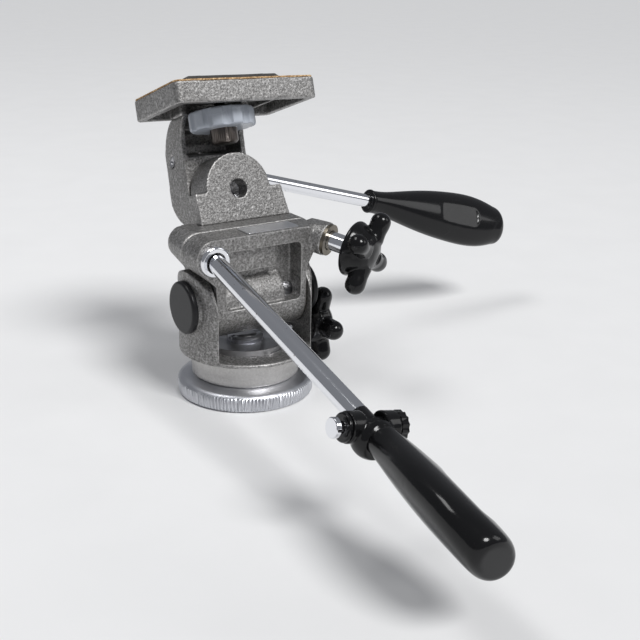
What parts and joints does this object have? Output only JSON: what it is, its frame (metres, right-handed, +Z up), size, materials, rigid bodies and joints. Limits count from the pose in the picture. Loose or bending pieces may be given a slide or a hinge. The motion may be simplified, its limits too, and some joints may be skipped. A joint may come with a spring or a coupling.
{
  "type": "three-way pan tilt head",
  "caption": "Tripod pan and tilt head: round flange base, swivelling fork, tilting cast body, leaning camera platform on a goose-neck arm, and drooping handles with black grips.",
  "frame": {"origin": "mouth of the tripod socket, in the middle of the base disc's flat underside", "axes": "+Z up along the pan axis; +X along the tilt axis to the right, on the side of the star knobs; the front handle points towards -Y and the rear handle towards +X"},
  "size_m": [0.2323, 0.258, 0.137],
  "materials": {
    "bare_aluminium": "turned bare metal, fine knurl on the rim",
    "hammertone": "warm grey hammered paint on castings",
    "steel": "turned steel, slightly oiled",
    "chrome_rod": "bright plated rods and rings",
    "brass_ring": "dull turned ring",
    "black_gloss": "glossy moulded black",
    "black_matte": "satin moulded black",
    "pale_knob": "pale blue grey moulding",
    "dark_steel": "blackened steel with brown tint",
    "fibre": "friction fibre",
    "cork": "fine pressed cork",
    "pad_rubber": "dark grey fine grained rubber"
  },
  "bodies": {
    "base": {"base_disc": "bare_aluminium", "pan_spindle": "steel", "pan_drum": "steel", "pan_nut": "steel", "pan_friction_ring": "fibre"},
    "fork": {"fork": "hammertone", "tilt_axle": "steel", "axle_cap_left": "black_matte", "axle_cap_right": "black_matte", "tilt_washer_left": "fibre", "tilt_washer_right": "fibre"},
    "pan_lock": {"pan_lock_stud": "steel", "pan_lock_knob": "black_gloss"},
    "tilt_body": {"front_body": "hammertone", "rear_body": "hammertone", "body_screws": "steel", "body_dowels": "steel", "name_plate": "bare_aluminium", "handle_ferrule": "chrome_rod", "stub_ring": "brass_ring", "turret": "hammertone", "turret_screws": "steel", "lateral_axle": "steel", "lateral_friction_ring": "fibre", "axle_end_washer": "steel", "axle_end_nut": "steel"},
    "side_lock": {"side_stub": "chrome_rod", "side_knob": "black_gloss"},
    "front_handle": {"front_rod": "chrome_rod", "front_knuckle": "black_gloss", "knuckle_cap": "black_gloss", "button_spring": "steel"},
    "release_button": {"release_button": "chrome_rod"},
    "front_grip": {"front_ball": "black_gloss", "front_grip": "black_gloss"},
    "camera_arm": {"arm": "hammertone", "arm_set_screw": "steel", "platform": "hammertone", "platform_screws": "steel", "cork_sheet": "cork", "rubber_pad": "pad_rubber"},
    "screw_carrier": {"camera_collar": "black_matte"},
    "camera_screw": {"camera_screw": "steel", "camera_knob": "pale_knob", "camera_stem": "dark_steel"},
    "rear_handle": {"rear_rod": "chrome_rod", "rear_socket": "black_gloss", "rear_grip": "black_gloss"}
  },
  "joints": [
    {"name": "pan", "type": "hinge", "parent": "base", "child": "fork", "pos_m": [0, 0, 0.03], "axis": [0, 0, 1], "continuous": true},
    {"name": "pan_lock_turn", "type": "hinge", "parent": "fork", "child": "pan_lock", "pos_m": [0.03, 0, 0.024], "axis": [1, 0, 0], "range_deg": [-180, 180]},
    {"name": "tilt", "type": "hinge", "parent": "fork", "child": "tilt_body", "pos_m": [0, 0, 0.0426], "axis": [1, 0, 0], "range_deg": [-30, 50]},
    {"name": "side_lock_turn", "type": "hinge", "parent": "tilt_body", "child": "side_lock", "pos_m": [0.0325, -0.0153, 0.0674], "axis": [0.4623, -0.8695, -0.1737], "range_deg": [-180, 180]},
    {"name": "front_handle_turn", "type": "hinge", "parent": "tilt_body", "child": "front_handle", "pos_m": [-0.0235, -0.016, 0.0658], "axis": [-0.0804, -0.9783, -0.1908], "range_deg": [-90, 90]},
    {"name": "button_press", "type": "slide", "parent": "front_handle", "child": "release_button", "axis": [0.9781, -0.0406, -0.2041], "range_m": [0, 0.0018], "stiffness_N_per_m": 400, "springref_m": -0.002},
    {"name": "grip_fold", "type": "hinge", "parent": "front_handle", "child": "front_grip", "pos_m": [-0.03339, -0.13634, 0.04233], "axis": [0.9781, -0.0406, -0.2041], "range_deg": [-90, 0]},
    {"name": "side_tilt", "type": "hinge", "parent": "tilt_body", "child": "camera_arm", "pos_m": [0.0046, 0.03146, 0.08127], "axis": [0, 0.9461, -0.3239], "range_deg": [-60, 55]},
    {"name": "screw_lift", "type": "slide", "parent": "camera_arm", "child": "screw_carrier", "axis": [0.0262, 0.3238, 0.9458], "range_m": [0, 0.0036]},
    {"name": "camera_screw_turn", "type": "hinge", "parent": "screw_carrier", "child": "camera_screw", "pos_m": [0.00361, 0.02543, 0.11614], "axis": [0.0262, 0.3238, 0.9458], "continuous": true},
    {"name": "rear_handle_turn", "type": "hinge", "parent": "camera_arm", "child": "rear_handle", "pos_m": [0.02083, 0.04366, 0.08605], "axis": [0.9628, -0.0481, -0.266], "range_deg": [-90, 90]}
  ]
}
